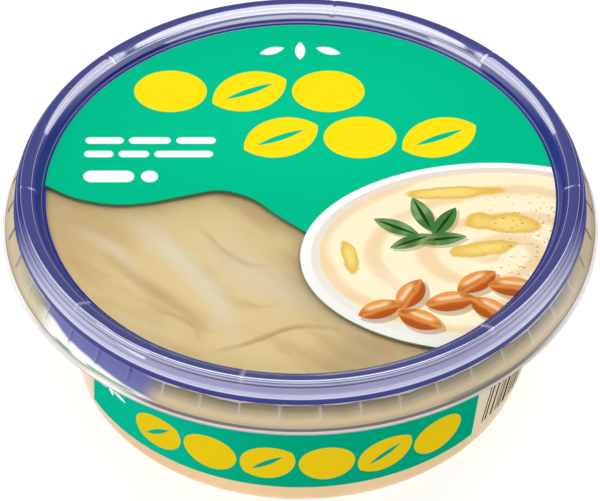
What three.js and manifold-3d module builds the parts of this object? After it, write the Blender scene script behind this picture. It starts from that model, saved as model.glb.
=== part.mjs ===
// A shut tub of hummus: a tapered clear tub with a flanged mouth, the hummus that fills it, a thin push-on lid
// with a raised coloured rim and a flared clear skirt, a printed film on the lid with a wavy window in it,
// and a printed band round the tub's wall.
// Millimetres, +Z up. The origin is the middle of the foot, on the surface that the tub stands on. Front is -Y.
import * as THREE from "three";
import { mergeVertices } from "three/addons/utils/BufferGeometryUtils.js";
import Module from "manifold-3d";

const wasm = await Module();
wasm.setup();

// Overall sizes
const RIM_RADIUS = 50.5; // outside of the lid's coloured rim
const LIP_RADIUS = 52.7; // outermost edge of the clear skirt
const HEIGHT = 40; // foot to the crest of the rim
const PANEL_RADIUS = 45.3; // flat middle of the lid
const PANEL_DROP = 2.8; // crest down to the panel
const SKIRT_DROP = 10.2; // crest down to the bottom of the skirt
const RIM_DROP = 4.7; // crest down to where the coloured rim ends and the clear skirt begins
const FOOT_RADIUS = 39.1; // where the tub's wall line meets the ground
const WALL_SLOPE = 0.235; // growth of the tub's radius for each millimetre of height
const FOOT_FILLET = 3.6;
const LID_SHEET = 0.55;
const TUB_SHEET = 0.8;
const ROUND_STEPS = 72;

const PANEL_TOP = HEIGHT - PANEL_DROP;
const SKIRT_BOTTOM = HEIGHT - SKIRT_DROP;
const RIM_BOTTOM = HEIGHT - RIM_DROP;

// Tub mouth
const FLANGE_RADIUS = 49.2;
const FLANGE_TOP = PANEL_TOP + 1.15;
const FOOT_RECESS = 0.7; // how far the middle of the base stands clear of the ground
const RECESS_RADIUS = 32;

// Filling
const FILL_GAP = 0.3; // clearance between the filling and the tub's sheet
const FILL_LEVEL = PANEL_TOP - LID_SHEET - 0.55;

// Films
const FILM = 0.2;
const FILM_GAP = 0.1;
const LID_FILM_RADIUS = 44.6;
const BAND_BOTTOM = 5.8;
const BAND_TOP = 23.5;
const BAND_LEFT = -63.6; // degrees round from the front, to the right when positive, at the band's bottom
const BAND_LEFT_TOP = -54; // the left end leans
const BAND_RIGHT = 163.5;
const BAND_STEPS = 60;
const BAND_ROWS = 3; // rows in height, so that the leaning end keeps to the round wall

// Lid details
const RIB_COUNT = 45;
const RIB_HEIGHT = 2.5;
const RIB_WIDTH = 0.5;
const RIB_PROUD = 0.3;
const SKIRT_LEAN = Math.atan2(1.1, 2.7); // flare of the skirt behind the ribs
const RIB_BELOW = 1.4; // from the coloured rim's foot down to a rib's middle
const NOTCHES = [-90, -45, 7, 44, 89.5, 137, -168, -127.5]; // degrees round from the back, to the right
const NOTCH_SIZE = 0.75; // from a cutter's middle line to its edges
const NOTCH_DEPTH = 0.25; // below the crest
const NOTCH_LENGTH = 3.4;
const CREST_INSET = 1.9; // from the rim's outside in to the crest's middle

// Colours
const RIM_BLUE = 0x4a4c9c;
const CLEAR = 0xeeeae0;
const HUMMUS = 0xd8c08e;
const FILM_GREEN = 0x00b98a;
const BAND_GREEN = 0x00a684;

const degrees = THREE.MathUtils.degToRad;
const wallRadius = (z) => FOOT_RADIUS + WALL_SLOPE * z;

// A closed body of revolution about +Z from a profile of [radius, height] points that runs anticlockwise.
function turned(profile) {
  const points = profile.map(([r, z]) => new THREE.Vector2(r, z));
  return new THREE.LatheGeometry(points, ROUND_STEPS).rotateX(Math.PI / 2);
}

function toSolid(geometry) {
  const bare = new THREE.BufferGeometry().setAttribute("position", geometry.getAttribute("position").clone());
  if (geometry.index) bare.setIndex(geometry.index.clone());
  const merged = mergeVertices(bare, 1e-4);
  return new wasm.Manifold(
    new wasm.Mesh({
      numProp: 3,
      vertProperties: new Float32Array(merged.getAttribute("position").array),
      triVerts: new Uint32Array(merged.index.array),
    }),
  );
}

function toGeometry(solid) {
  const { vertProperties, triVerts, numProp } = solid.getMesh();
  const geometry = new THREE.BufferGeometry();
  const count = vertProperties.length / numProp;
  const positions = new Float32Array(count * 3);
  for (let i = 0; i < count; i++) {
    positions.set(vertProperties.subarray(i * numProp, i * numProp + 3), i * 3);
  }
  geometry.setAttribute("position", new THREE.BufferAttribute(positions, 3));
  geometry.setIndex(new THREE.BufferAttribute(new Uint32Array(triVerts), 1));
  geometry.computeVertexNormals();
  return geometry;
}

// An arc of [radius, height] points about a centre, from one angle to another, in degrees above outwards.
function arc(r, z, radius, from, to, steps) {
  return Array.from({ length: steps + 1 }, (_, i) => {
    const angle = degrees(from + ((to - from) * i) / steps);
    return [r + radius * Math.cos(angle), z + radius * Math.sin(angle)];
  });
}

// The rounded foot from the ground out to the tapered wall, moved inwards by an inset.
function footArc(inset) {
  const lean = Math.atan(WALL_SLOPE);
  const centre = wallRadius(FOOT_FILLET) - FOOT_FILLET / Math.cos(lean);
  return arc(centre, FOOT_FILLET, FOOT_FILLET - inset, -90, -THREE.MathUtils.radToDeg(lean), 4);
}

function tub() {
  const flangeUnder = FLANGE_TOP - TUB_SHEET;
  const outside = [
    [0, FOOT_RECESS],
    [RECESS_RADIUS - 1, FOOT_RECESS],
    [RECESS_RADIUS, 0],
    ...footArc(0),
    [wallRadius(flangeUnder), flangeUnder],
    [FLANGE_RADIUS, flangeUnder - 0.15],
    [FLANGE_RADIUS, FLANGE_TOP - 0.25],
    [FLANGE_RADIUS - 0.3, FLANGE_TOP],
  ];
  const inside = [
    [wallRadius(FLANGE_TOP) - TUB_SHEET, FLANGE_TOP],
    ...footArc(TUB_SHEET).reverse(),
    [RECESS_RADIUS + 0.4, TUB_SHEET],
    [RECESS_RADIUS - 0.8, FOOT_RECESS + TUB_SHEET],
    [0, FOOT_RECESS + TUB_SHEET],
  ];
  return turned([...outside, ...inside]);
}

// Height of the filling's smeared top over its mean level: long soft folds that run across the window.
function foldHeight(x, y) {
  const along = 0.74 * x - 0.67 * y;
  const across = 0.67 * x + 0.74 * y;
  const broad = 0.16 * Math.sin(along / 7.5 + 0.9 * Math.sin(across / 11));
  const fine = 0.1 * Math.sin(across / 3.4 + 1.6 * Math.sin(along / 9));
  return broad + fine;
}

function filling() {
  const shell = TUB_SHEET + FILL_GAP;
  const edge = wallRadius(FILL_LEVEL) - shell;
  const rings = 9;
  const top = Array.from({ length: rings + 1 }, (_, i) => [edge * (1 - i / rings), FILL_LEVEL]);
  const floor = FOOT_RECESS + shell;
  const body = [[0, floor], [RECESS_RADIUS - 0.6, floor], [RECESS_RADIUS + 0.6, shell], ...footArc(shell)];
  const geometry = turned([...body, ...top]);
  const position = geometry.getAttribute("position");
  for (let i = 0; i < position.count; i++) {
    if (position.getZ(i) < FILL_LEVEL - 0.01) continue;
    const [x, y] = [position.getX(i), position.getY(i)];
    const fade = 1 - THREE.MathUtils.smoothstep(Math.hypot(x, y), edge - 5, edge);
    position.setZ(i, FILL_LEVEL + foldHeight(x, y) * fade);
  }
  return geometry;
}

// The lid's upper side, from the axis out over the panel, the stepped rim and the skirt to the lip.
function lidOutside() {
  return [
    [0, PANEL_TOP],
    [PANEL_RADIUS - 0.4, PANEL_TOP],
    [PANEL_RADIUS + 0.2, PANEL_TOP + 0.2],
    [PANEL_RADIUS + 0.6, HEIGHT - 1.8],
    [PANEL_RADIUS + 1.2, HEIGHT - 0.9],
    [PANEL_RADIUS + 1.55, HEIGHT - 0.78],
    [PANEL_RADIUS + 2.6, HEIGHT - 0.28],
    [RIM_RADIUS - 1.7, HEIGHT],
    [RIM_RADIUS - 1.3, HEIGHT - 0.07],
    [RIM_RADIUS - 1.0, HEIGHT - 0.2],
    [RIM_RADIUS - 0.78, HEIGHT - 0.6],
    [RIM_RADIUS - 0.62, HEIGHT - 1.1],
    [RIM_RADIUS - 0.2, HEIGHT - 1.9],
    [RIM_RADIUS - 0.05, HEIGHT - 2.9],
    [RIM_RADIUS, RIM_BOTTOM],
    [RIM_RADIUS + 0.4, RIM_BOTTOM - 0.9],
    [RIM_RADIUS + 1.1, RIM_BOTTOM - 2.7],
    [LIP_RADIUS - 0.75, SKIRT_BOTTOM + 1.3],
    [LIP_RADIUS - 0.2, SKIRT_BOTTOM + 0.75],
    [LIP_RADIUS, SKIRT_BOTTOM + 0.45],
    [LIP_RADIUS - 0.05, SKIRT_BOTTOM],
  ];
}

// The lid's underside, from the lip back in under the skirt and the rim's channel to the axis.
function lidUnderside() {
  return [
    [LIP_RADIUS - 0.75, SKIRT_BOTTOM],
    [LIP_RADIUS - 1.3, SKIRT_BOTTOM + 1.1],
    [RIM_RADIUS + 0.5, RIM_BOTTOM - 2.9],
    [RIM_RADIUS - LID_SHEET, RIM_BOTTOM],
    [RIM_RADIUS - 0.6, HEIGHT - 2.9],
    [RIM_RADIUS - 0.75, HEIGHT - 2.1],
    [RIM_RADIUS - 1.15, HEIGHT - 1.3],
    [RIM_RADIUS - 1.4, HEIGHT - 0.65],
    [RIM_RADIUS - 1.7, HEIGHT - LID_SHEET],
    [PANEL_RADIUS + 2.8, HEIGHT - 0.8],
    [PANEL_RADIUS + 1.7, HEIGHT - 1.3],
    [PANEL_RADIUS + 1.05, HEIGHT - 2.12],
    [PANEL_RADIUS + 0.2, PANEL_TOP - LID_SHEET],
    [0, PANEL_TOP - LID_SHEET],
  ];
}

// Short upright ribs round the skirt, just under the coloured rim, sunk halfway into its sheet.
function ribs() {
  const step = 360 / RIB_COUNT;
  return Array.from({ length: RIB_COUNT }, (_, i) => {
    const rib = new THREE.BoxGeometry(RIB_WIDTH, 2 * RIB_PROUD, RIB_HEIGHT)
      .rotateX(-SKIRT_LEAN)
      .translate(0, -(RIM_RADIUS + RIB_PROUD + 0.35), RIM_BOTTOM - RIB_BELOW)
      .rotateZ(degrees((i + 0.5) * step));
    return toSolid(rib);
  });
}

// Square bars laid across the crest, edge down, that cut the shallow breaks in the rim.
function notchCutters() {
  return NOTCHES.map((angle) => {
    const bar = new THREE.CylinderGeometry(NOTCH_SIZE, NOTCH_SIZE, NOTCH_LENGTH, 4)
      .translate(0, RIM_RADIUS - CREST_INSET, HEIGHT + NOTCH_SIZE - NOTCH_DEPTH)
      .rotateZ(-degrees(angle));
    return toSolid(bar);
  });
}

function lid() {
  // The profile runs out along the top and back along the underside, so it is reversed to face outwards.
  let solid = toSolid(turned([...lidOutside(), ...lidUnderside()].reverse()));
  for (const rib of ribs()) solid = solid.add(rib);
  for (const cutter of notchCutters()) solid = solid.subtract(cutter);
  return toGeometry(solid);
}

// The film's outline: the panel's edge over the back, the printed dish's edge at the lower right,
// and the wave that leaves the lower left clear as a window.
function lidFilm() {
  const dish = { x: 34, y: -15, long: 34, short: 24.2, meetsEdge: degrees(-108.3), meetsWave: degrees(-195) };
  const waveStart = degrees(175.7);
  const edgeEnd = Math.atan2(
    dish.y + dish.short * Math.sin(dish.meetsEdge),
    dish.x + dish.long * Math.cos(dish.meetsEdge),
  );
  const shape = new THREE.Shape();
  shape.absarc(0, 0, LID_FILM_RADIUS, waveStart, edgeEnd, true);
  shape.absellipse(dish.x, dish.y, dish.long, dish.short, dish.meetsEdge, dish.meetsWave, true);
  const wave = [[-4.2, -4.0], [-8.6, 0.2], [-14.2, 2.2], [-20.6, 0.7], [-27, -1.0], [-33, -1.4], [-39.6, 0.2]];
  shape.splineThru(wave.map(([x, y]) => new THREE.Vector2(x, y)));
  shape.closePath();
  return new THREE.ExtrudeGeometry(shape, { depth: FILM, bevelEnabled: false, curveSegments: 20 }).translate(
    0,
    0,
    PANEL_TOP + FILM_GAP,
  );
}

// A strip of film bent round the tapered wall, from its free end at the front left round to the back.
function band() {
  const lerp = THREE.MathUtils.lerp;
  const strip = new THREE.BoxGeometry(1, FILM, 1, BAND_STEPS, 1, BAND_ROWS).translate(0.5, 0, 0.5);
  const position = strip.getAttribute("position");
  for (let i = 0; i < position.count; i++) {
    const rise = position.getZ(i);
    const height = lerp(BAND_BOTTOM, BAND_TOP, rise);
    const angle = degrees(lerp(lerp(BAND_LEFT, BAND_LEFT_TOP, rise), BAND_RIGHT, position.getX(i)));
    const radius = wallRadius(height) + FILM_GAP + FILM / 2 - position.getY(i);
    position.setXYZ(i, radius * Math.sin(angle), -radius * Math.cos(angle), height);
  }
  return strip;
}

function named(name, geometry, colour, looks) {
  const mesh = new THREE.Mesh(geometry, new THREE.MeshStandardMaterial({ color: colour, ...looks }));
  mesh.name = name;
  return mesh;
}

const clearSheet = { roughness: 0.08, metalness: 0, transparent: true, opacity: 0.35 };
const group = new THREE.Group();
group.add(
  named("tub", tub(), CLEAR, clearSheet),
  named("hummus", filling(), HUMMUS, { roughness: 0.55, metalness: 0 }),
  named("lid", lid(), RIM_BLUE, { roughness: 0.12, metalness: 0, transparent: true, opacity: 0.6 }),
  named("lid_film", lidFilm(), FILM_GREEN, { roughness: 0.35, metalness: 0 }),
  named("side_band", band(), BAND_GREEN, { roughness: 0.35, metalness: 0 }),
);

export default group;
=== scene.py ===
"""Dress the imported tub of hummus.

The pieces are a clear tub, its smeared filling, a blue-rimmed lid, a printed film and a printed band. Profiles
and print layouts are given in millimetres and become metres when a mesh is made. +Z is up and the printed front
faces -Y.
"""

import logging
import math
from dataclasses import dataclass, field
from enum import Enum
from typing import Any

import bmesh
import bpy
import numpy as np
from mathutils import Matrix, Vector


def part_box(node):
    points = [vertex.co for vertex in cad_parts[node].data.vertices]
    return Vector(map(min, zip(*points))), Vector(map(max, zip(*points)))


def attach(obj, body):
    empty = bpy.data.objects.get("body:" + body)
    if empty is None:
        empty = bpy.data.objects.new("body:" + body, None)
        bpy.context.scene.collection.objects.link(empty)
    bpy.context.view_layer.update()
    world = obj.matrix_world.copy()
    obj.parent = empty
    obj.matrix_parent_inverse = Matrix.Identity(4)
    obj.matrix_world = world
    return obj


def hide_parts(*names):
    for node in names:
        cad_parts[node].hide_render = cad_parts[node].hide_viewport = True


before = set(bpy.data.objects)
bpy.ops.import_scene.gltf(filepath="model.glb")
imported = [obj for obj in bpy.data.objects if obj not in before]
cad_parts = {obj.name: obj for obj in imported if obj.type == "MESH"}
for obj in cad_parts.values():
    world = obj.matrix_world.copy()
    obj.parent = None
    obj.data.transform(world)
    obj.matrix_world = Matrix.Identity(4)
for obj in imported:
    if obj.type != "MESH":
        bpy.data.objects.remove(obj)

MM = 0.001
LOG = logging.getLogger("hummus_tub")
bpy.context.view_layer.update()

# The pictured dish on the lid film: middle x and y, half its width and half its depth
DISH = (34.0, -15.0, 34.0, 24.2)

Socket = bpy.types.NodeSocket
# Where a soft step starts and where it is complete
Span = tuple[float, float]
# Where a colour starts by height, half the width of its soft step, and the colour
Band = tuple[float, float, str]


def tone(code: str) -> tuple[float, float, float, float]:
    """Turn a screen colour into the linear colour that shaders use.

    Args:
        code: Six hexadecimal digits, red then green then blue.

    Returns:
        Linear red, green and blue, and an alpha of one. Each channel c is c / 12.92 in the darkest part and
        ((c + 0.055) / 1.055) to the power 2.4 above it.
    """
    channels = np.array([int(code[i : i + 2], 16) / 255 for i in (0, 2, 4)])
    linear = np.where(channels <= 0.04045, channels / 12.92, ((channels + 0.055) / 1.055) ** 2.4)
    return (*linear.tolist(), 1.0)


class Expr:
    """A shader socket that adds Math nodes when it is used in arithmetic."""

    def __init__(self, recipe: "Recipe", socket: Socket) -> None:
        """Wrap one output socket of a recipe's node tree."""
        self.recipe = recipe
        self.socket = socket

    def _math(self, operation: str, first: Any, second: Any = None) -> "Expr":
        """Add one Math node.

        Args:
            operation: The Math node's operation.
            first: Its first value.
            second: Its second value, where the operation takes one.

        Returns:
            The node's result.
        """
        values = {0: first} if second is None else {0: first, 1: second}
        node = self.recipe.add("ShaderNodeMath", {"operation": operation}, values)
        return Expr(self.recipe, node.outputs[0])

    def __add__(self, other: Any) -> "Expr":
        """Return self + other."""
        return self._math("ADD", self, other)

    __radd__ = __add__

    def __sub__(self, other: Any) -> "Expr":
        """Return self - other."""
        return self._math("SUBTRACT", self, other)

    def __rsub__(self, other: Any) -> "Expr":
        """Return other - self."""
        return self._math("SUBTRACT", other, self)

    def __mul__(self, other: Any) -> "Expr":
        """Return self * other."""
        return self._math("MULTIPLY", self, other)

    __rmul__ = __mul__

    def __truediv__(self, other: Any) -> "Expr":
        """Return self / other."""
        return self._math("DIVIDE", self, other)

    def __pow__(self, other: Any) -> "Expr":
        """Return self to the power other."""
        return self._math("POWER", self, other)

    def __abs__(self) -> "Expr":
        """Return self without its sign."""
        return self._math("ABSOLUTE", self)

    def sin(self) -> "Expr":
        """Return the sine of self, an angle in radians."""
        return self._math("SINE", self)

    def root(self) -> "Expr":
        """Return the square root of self."""
        return self._math("SQRT", self)

    def cycle(self, length: float) -> "Expr":
        """Return self brought back into 0 to length by whole lengths."""
        return self._math("FLOORED_MODULO", self, length)

    def most(self, other: Any) -> "Expr":
        """Return the larger of self and other."""
        return self._math("MAXIMUM", self, other)

    def least(self, other: Any) -> "Expr":
        """Return the smaller of self and other."""
        return self._math("MINIMUM", self, other)

    def atan2(self, other: Any) -> "Expr":
        """Return the angle whose tangent is self over other."""
        return self._math("ARCTAN2", self, other)

    def step(self, low: float, high: float) -> "Expr":
        """Return a smooth step of self.

        Args:
            low: The value at which the step starts.
            high: The value at which the step is complete.

        Returns:
            0 at low, 1 at high and 3t^2 - 2t^3 between them.
        """
        settings = {"interpolation_type": "SMOOTHSTEP", "clamp": True}
        node = self.recipe.add("ShaderNodeMapRange", settings, {0: self, 1: low, 2: high, 3: 0.0, 4: 1.0})
        return Expr(self.recipe, node.outputs[0])

    def between(self, rise: Span, fall: Span) -> "Expr":
        """Return 1 between a smooth step up and a smooth step down, and 0 outside them."""
        return self.step(*rise) * (1 - self.step(*fall))


class Recipe:
    """One material's node tree, with the one method that adds nodes to it."""

    def __init__(self, name: str) -> None:
        """Make an empty material of that name."""
        self.material = bpy.data.materials.new(name)
        self.material.use_nodes = True
        self.tree = self.material.node_tree
        self.tree.nodes.clear()
        self.output = self.add("ShaderNodeOutputMaterial")

    def add(
        self,
        kind: str,
        settings: dict[str, Any] | None = None,
        values: dict[int | str, Any] | None = None,
    ) -> bpy.types.Node:
        """Add one node.

        Args:
            kind: The node's type.
            settings: Properties that are set before the sockets, such as an operation.
            values: What each input socket gets, a constant or an expression or socket to link.

        Returns:
            The new node.
        """
        node = self.tree.nodes.new(kind)
        for key, setting in (settings or {}).items():
            setattr(node, key, setting)
        for key, value in (values or {}).items():
            if isinstance(value, Expr):
                self.tree.links.new(value.socket, node.inputs[key])
            elif isinstance(value, bpy.types.NodeSocket):
                self.tree.links.new(value, node.inputs[key])
            else:
                node.inputs[key].default_value = value
        return node

    def place(self) -> tuple[Expr, Expr, Expr]:
        """Find the surface point in the object's own frame.

        Returns:
            Its x, y and z in millimetres.
        """
        source = self.add("ShaderNodeTexCoord").outputs["Object"]
        split = self.add("ShaderNodeSeparateXYZ", values={0: source})
        x, y, z = (Expr(self, socket) * (1 / MM) for socket in split.outputs)
        return x, y, z

    def attribute(self, name: str) -> Expr:
        """Return a number that the mesh holds at each vertex under that name."""
        node = self.add("ShaderNodeAttribute", {"attribute_name": name})
        return Expr(self, node.outputs["Fac"])

    def noise(
        self,
        scale: float,
        detail: float = 3.0,
        stretch: tuple[float, float, float] = (1, 1, 1),
        turn: float = 0.0,
    ) -> Expr:
        """Return smooth noise on the object's own coordinates.

        Args:
            scale: Lumps to a metre.
            detail: How many finer octaves are added.
            stretch: How much the coordinates are scaled along x, y and z.
            turn: How far they are turned about z before that, in degrees.

        Returns:
            Values about 0.5.
        """
        source = self.add("ShaderNodeTexCoord").outputs["Object"]
        angles = (0, 0, math.radians(turn))
        turned = self.add("ShaderNodeMapping", values={"Vector": source, "Rotation": angles}).outputs[0]
        mapping = self.add("ShaderNodeMapping", values={"Vector": turned, "Scale": stretch})
        values = {"Vector": mapping.outputs[0], "Scale": scale, "Detail": detail}
        return Expr(self, self.add("ShaderNodeTexNoise", values=values).outputs["Fac"])

    def blend(self, mask: Any, under: Any, over: Any) -> Socket:
        """Lay one colour over another.

        Args:
            mask: How much of the upper colour shows, 0 to 1.
            under: The colour below, a constant or a socket.
            over: The colour above, a constant or a socket.

        Returns:
            The mixed colour's socket.
        """
        node = self.add("ShaderNodeMix", {"data_type": "RGBA"}, {0: mask, 6: under, 7: over})
        return node.outputs[2]

    def banded(self, level: Expr, colour: Any, bands: tuple[Band, ...]) -> Socket:
        """Lay colours over one another by height.

        Args:
            level: The height.
            colour: The lowest colour.
            bands: The further colours, from the lowest up.

        Returns:
            The colour's socket: each band's colour holds up to the next.
        """
        for height, soft, code in bands:
            colour = self.blend(level.step(height - soft, height + soft), colour, tone(code))
        return colour

    def surface(self, values: dict[str, Any]) -> bpy.types.Node:
        """Return a Principled shader with those inputs."""
        return self.add("ShaderNodeBsdfPrincipled", values=values)

    def mixed(self, mask: Expr, under: bpy.types.Node, over: bpy.types.Node) -> bpy.types.Node:
        """Return a shader that shows the upper shader as far as the mask says."""
        return self.add("ShaderNodeMixShader", values={0: mask, 1: under.outputs[0], 2: over.outputs[0]})

    def bump(self, height: Expr, depth: float, strength: float) -> Socket:
        """Return a normal bent by a height, whose full range stands for a depth in metres."""
        values = {"Height": height, "Distance": depth, "Strength": strength}
        return self.add("ShaderNodeBump", values=values).outputs[0]

    def softened(self, glossy: bpy.types.Node, colour: Socket, mask: Expr, alpha: Any) -> bpy.types.Node:
        """Take the mirror-like sheen off part of a glossy shader.

        Args:
            glossy: The shader's node.
            colour: Its colour.
            mask: Where the sheen goes, 0 to 1.
            alpha: How solid the surface is.

        Returns:
            The mixed shader's node.
        """
        plain = {"Base Color": colour, "Roughness": 0.5, "Specular IOR Level": 0.0, "Alpha": alpha}
        return self.mixed(mask, glossy, self.surface(plain))

    def finish(self, shader: bpy.types.Node) -> bpy.types.Material:
        """Connect the last shader to the output and return the material."""
        self.tree.links.new(shader.outputs[0], self.output.inputs["Surface"])
        return self.material


@dataclass(frozen=True)
class Sheet:
    """Flat coordinates on a print, in millimetres, and the masks of shapes drawn there."""

    x: Expr
    y: Expr
    soft: float = 0.05

    def turned(self, cx: float, cy: float, angle: float) -> tuple[Expr, Expr]:
        """Move and turn the coordinates.

        Args:
            cx: The new centre's x.
            cy: The new centre's y.
            angle: The turn, in degrees.

        Returns:
            The coordinates along and across the turned axes.
        """
        c, s = math.cos(math.radians(angle)), math.sin(math.radians(angle))
        dx, dy = self.x - cx, self.y - cy
        return dx * c + dy * s, dy * c - dx * s

    def within(self, distance: Expr) -> Expr:
        """Return 1 where a distance inside an edge is positive, 0 outside, with a soft line between."""
        return distance.step(-self.soft, self.soft)

    def ellipse(self, cx: float, cy: float, a: float, b: float, angle: float = 0.0) -> Expr:
        """Draw a filled ellipse.

        Args:
            cx: Middle along x.
            cy: Middle along y.
            a: Half its length.
            b: Half its height.
            angle: Turn of its length from x, in degrees.

        Returns:
            The ellipse's mask: inside where the root of (u / a)^2 + (v / b)^2 is under 1.
        """
        u, v = self.turned(cx, cy, angle)
        away = ((u / a) ** 2 + (v / b) ** 2).root()
        return self.within((1 - away) * min(a, b))

    def leaf(self, cx: float, cy: float, half: float, width: float, angle: float) -> Expr:
        """Return a pointed leaf, the part that two equal discs share.

        Args:
            cx: Middle along x.
            cy: Middle along y.
            half: From the middle to a point.
            width: From the middle to an edge.
            angle: Turn of the long axis from x, in degrees.

        Returns:
            The leaf's mask: inside where the distance to the far disc's centre is under its radius.
        """
        u, v = self.turned(cx, cy, angle)
        radius = (half**2 + width**2) / (2 * width)
        away = (u**2 + (abs(v) + (radius - width)) ** 2).root()
        return self.within(radius - away)

    def pill(self, cx: float, cy: float, length: float, height: float) -> Expr:
        """Draw a level bar with round ends.

        Args:
            cx: Middle along x.
            cy: Middle along y.
            length: Its whole length.
            height: Its height.

        Returns:
            The bar's mask: inside where the distance to its middle line is under half its height.
        """
        u, v = self.x - cx, self.y - cy
        beyond = (abs(u) - (length - height) / 2).most(0.0)
        return self.within(height / 2 - (beyond**2 + v**2).root())

    def block(self, cx: float, cy: float, length: float, height: float) -> Expr:
        """Return a rectangle: inside where neither distance from the middle is over half its side."""
        along, across = abs(self.x - cx) - length / 2, abs(self.y - cy) - height / 2
        return self.within(0 - along.most(across))


@dataclass(frozen=True)
class ClearSheet:
    """Clear moulded plastic that bends light, and lets light through to what it covers."""

    name: str
    tint: str = "fdfcfa"
    roughness: float = 0.03
    ior: float = 1.46

    def build(self) -> bpy.types.Material:
        """Mix glass for the eye with plain tinted film for shadow and diffuse rays.

        Returns:
            The material.
        """
        recipe = Recipe(self.name)
        colour = tone(self.tint)
        glass = recipe.surface(
            {
                "Base Color": colour,
                "Roughness": self.roughness,
                "IOR": self.ior,
                "Transmission Weight": 1.0,
            }
        )
        film = recipe.add("ShaderNodeBsdfTransparent", values={"Color": colour})
        path = recipe.add("ShaderNodeLightPath")
        shadow, diffuse = (Expr(recipe, path.outputs[kind]) for kind in ("Is Shadow Ray", "Is Diffuse Ray"))
        return recipe.finish(recipe.mixed(shadow.most(diffuse), glass, film))


@dataclass(frozen=True)
class BlueRim:
    """Glossy indigo plastic of the lid's rim, with painted reflections in pale bands on the front of its outer
    wall.

    Spans are radii or heights in millimetres. Each highlight is a painted bright line, given by its middle and
    half its width.
    """

    name: str = "blue_rim"
    inner: str = "0f1580"
    crest: str = "2c3288"
    outer: str = "12187f"
    # Colour of the painted highlights and reflections
    painted_highlight_and_shade: str = "d4d5f0"
    # Painted reflections on the outer wall: the lowest colour, then bands by height
    wall_foot_reflection: str = "abadd6"
    wall: tuple[Band, ...] = (
        (37.55, 0.2, "6c6eb2"),
        (38.22, 0.12, "aca4cc"),
        (38.78, 0.08, "2b2c72"),
        (39.1, 0.08, "9c9cce"),
        (39.4, 0.08, "807fa8"),
        (39.66, 0.06, "cfd0ec"),
    )
    well_ends: Span = (45.9, 46.0)
    slope_starts: Span = (45.95, 46.05)
    slope_ends: Span = (46.75, 46.85)
    lavender_ends: Span = (46.8, 46.95)
    crest_starts: Span = (47.25, 47.4)
    crest_ends: Span = (49.15, 49.35)
    outer_starts: Span = (49.2, 49.4)
    wall_starts: Span = (49.42, 49.52)
    foot_ends: Span = (36.3, 36.5)
    wall_low: Span = (36.42, 36.58)
    wall_high: Span = (39.8, 39.9)
    # Painted highlight lines, each given by its middle and half its width
    film_edge_highlight: tuple[float, float] = (45.62, 0.1)
    inner_highlight: tuple[float, float] = (47.4, 0.1)
    outer_highlight: tuple[float, float] = (49.32, 0.09)
    side_highlight: tuple[float, float] = (50.02, 0.09)
    foot_highlight: tuple[float, float] = (36.65, 0.12)

    def build(self) -> bpy.types.Material:
        """Paint an indigo body, painted reflections in bands by height on the outer wall, painted highlights,
        under a gloss.

        Returns:
            The material.
        """
        recipe = Recipe(self.name)
        x, y, z = recipe.place()
        radius = (x**2 + y**2).root()
        aside = abs(x) / radius
        ahead = ((0 - y) / radius).step(0.08, 0.6)
        beyond = radius.step(*self.wall_starts)
        flank = beyond * (1 - ahead)
        foot = beyond * (1 - z.step(*self.foot_ends))
        sideways = aside.step(0.72, 0.9) * (1 - radius.step(*self.slope_ends))
        well = (1 - radius.step(*self.well_ends)).most(sideways)
        cut = recipe.attribute("cut")
        colour = recipe.blend(radius.step(*self.outer_starts), tone(self.inner), tone(self.outer))
        colour = recipe.blend(radius.between(self.crest_starts, self.crest_ends), colour, tone(self.crest))
        colour = recipe.blend(sideways * 0.9, colour, tone(self.crest))
        # Painted reflection: a pale tone on the inner slope at the back
        back_slope_reflection = (y / radius).step(0.3, 0.8) * radius.between(self.slope_starts, self.lavender_ends)
        colour = recipe.blend(back_slope_reflection * 0.28, colour, tone(self.painted_highlight_and_shade))
        # Painted reflection: pale bands by height on the front of the outer wall, streaked by noise
        flow = (0.72 + recipe.noise(120, 3, (1, 1, 5)) * 0.5).least(1.0)
        lit = beyond * z.between(self.wall_low, self.wall_high) * ahead * flow
        colour = recipe.blend(lit, colour, recipe.banded(z, tone(self.wall_foot_reflection), self.wall))
        # Painted highlights: bright lines where the slopes meet, and a glint at each notch, stronger at the
        # front
        painted_highlights = self.painted_highlights(radius, z, beyond, ahead).most(cut * (0.05 + ahead * 0.4))
        colour = recipe.blend(painted_highlights, colour, tone(self.painted_highlight_and_shade))
        dull = (foot * 0.85).most(well * 0.9).most(flank * 0.8).most(cut * aside.step(0.8, 0.95) * 0.8)
        glossy = recipe.surface(
            {
                "Base Color": colour,
                "Roughness": 0.2,
                "IOR": 1.45,
                "Coat Weight": 1 - dull,
                "Coat Roughness": 0.05,
                "Coat IOR": 2.4,
                "Normal": recipe.bump(recipe.noise(220, 2), 0.00002, 0.25),
            }
        )
        soft = (flank * 0.85).most(foot * 0.35).most(sideways * 0.55)
        return recipe.finish(recipe.softened(glossy, colour, soft, 1.0))

    def painted_highlights(self, radius: Expr, z: Expr, beyond: Expr, ahead: Expr) -> Expr:
        """Work out the painted highlight lines where the rim's slopes meet.

        Args:
            radius: Distance from the upright axis.
            z: Height.
            beyond: Where the outer wall is, 0 to 1.
            ahead: How far a place faces the front, 0 to 1.

        Returns:
            The lines' strength, 0 to 1.
        """
        lines = self.line(radius, *self.inner_highlight) * 0.55 + self.line(radius, *self.outer_highlight) * 0.5
        lines = lines.most(self.line(z, *self.foot_highlight) * beyond * ahead * 0.85)
        lines = lines.most(self.line(radius, *self.side_highlight) * (1 - ahead) * 0.4)
        return lines.most(self.line(radius, *self.film_edge_highlight) * 0.3)

    @staticmethod
    def line(value: Expr, middle: float, half: float) -> Expr:
        """Return 1 at a middle value, falling to 0 at a half width to either side."""
        return 1 - abs(value - middle).step(half * 0.3, half)


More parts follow.
